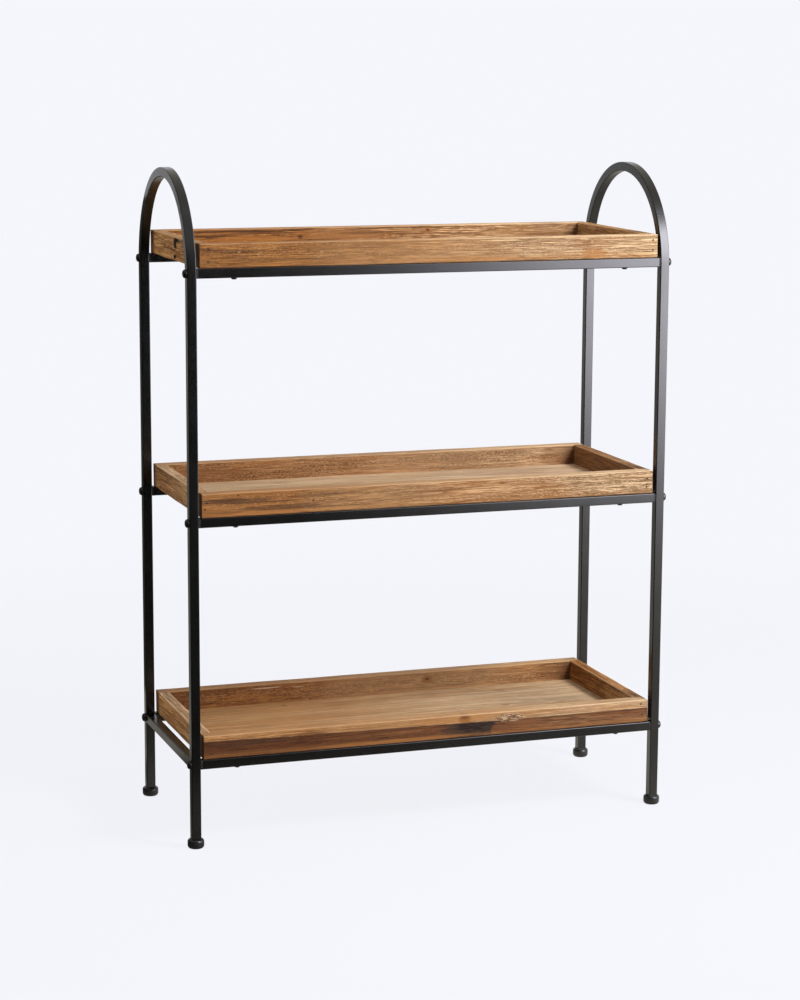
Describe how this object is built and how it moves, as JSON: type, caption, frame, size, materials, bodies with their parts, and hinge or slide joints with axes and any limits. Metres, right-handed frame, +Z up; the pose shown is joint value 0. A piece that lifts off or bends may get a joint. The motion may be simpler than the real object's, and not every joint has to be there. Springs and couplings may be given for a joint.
{
  "type": "shelving unit",
  "caption": "Open shelving unit: arched square-tube side frames carry shallow rustic wooden trays on rails, and stand on rounded foot caps.",
  "frame": {"origin": "on the floor under the middle of the unit", "axes": "+Z up, the front faces -Y, +X to the right as seen from the front"},
  "size_m": [0.7102, 0.2902, 0.9269],
  "materials": {
    "black_powder_coat": "satin powder coat",
    "black_fastener": "satin black",
    "cap_plastic": "smooth moulded, slight sheen",
    "board_wood": "sawn and brushed, honey brown stain",
    "panel_wood": "sanded, pale tan stain",
    "nail_steel": "darkened steel"
  },
  "bodies": {
    "root": {"left_side_frame": "black_powder_coat", "left_crossbar": "black_powder_coat", "right_side_frame": "black_powder_coat", "right_crossbar": "black_powder_coat", "lower_front_rail": "black_powder_coat", "lower_back_rail": "black_powder_coat", "lower_rail_plugs": "black_powder_coat", "lower_frame_bolts": "black_fastener", "middle_front_rail": "black_powder_coat", "middle_back_rail": "black_powder_coat", "middle_rail_plugs": "black_powder_coat", "middle_frame_bolts": "black_fastener", "top_front_rail": "black_powder_coat", "top_back_rail": "black_powder_coat", "top_rail_plugs": "black_powder_coat", "top_frame_bolts": "black_fastener", "left_front_foot_cap": "cap_plastic", "left_back_foot_cap": "cap_plastic", "right_front_foot_cap": "cap_plastic", "right_back_foot_cap": "cap_plastic", "lower_tray_front_board": "board_wood", "lower_tray_back_board": "board_wood", "lower_tray_left_end_board": "board_wood", "lower_tray_right_end_board": "board_wood", "lower_tray_bottom_panel": "panel_wood", "lower_tray_corner_nails": "nail_steel", "lower_tray_panel_pins": "nail_steel", "lower_tray_screws": "black_fastener", "middle_tray_front_board": "board_wood", "middle_tray_back_board": "board_wood", "middle_tray_left_end_board": "board_wood", "middle_tray_right_end_board": "board_wood", "middle_tray_bottom_panel": "panel_wood", "middle_tray_corner_nails": "nail_steel", "middle_tray_panel_pins": "nail_steel", "middle_tray_screws": "black_fastener", "top_tray_front_board": "board_wood", "top_tray_back_board": "board_wood", "top_tray_left_end_board": "board_wood", "top_tray_right_end_board": "board_wood", "top_tray_bottom_panel": "panel_wood", "top_tray_corner_nails": "nail_steel", "top_tray_panel_pins": "nail_steel", "top_tray_screws": "black_fastener"}
  },
  "joints": []
}
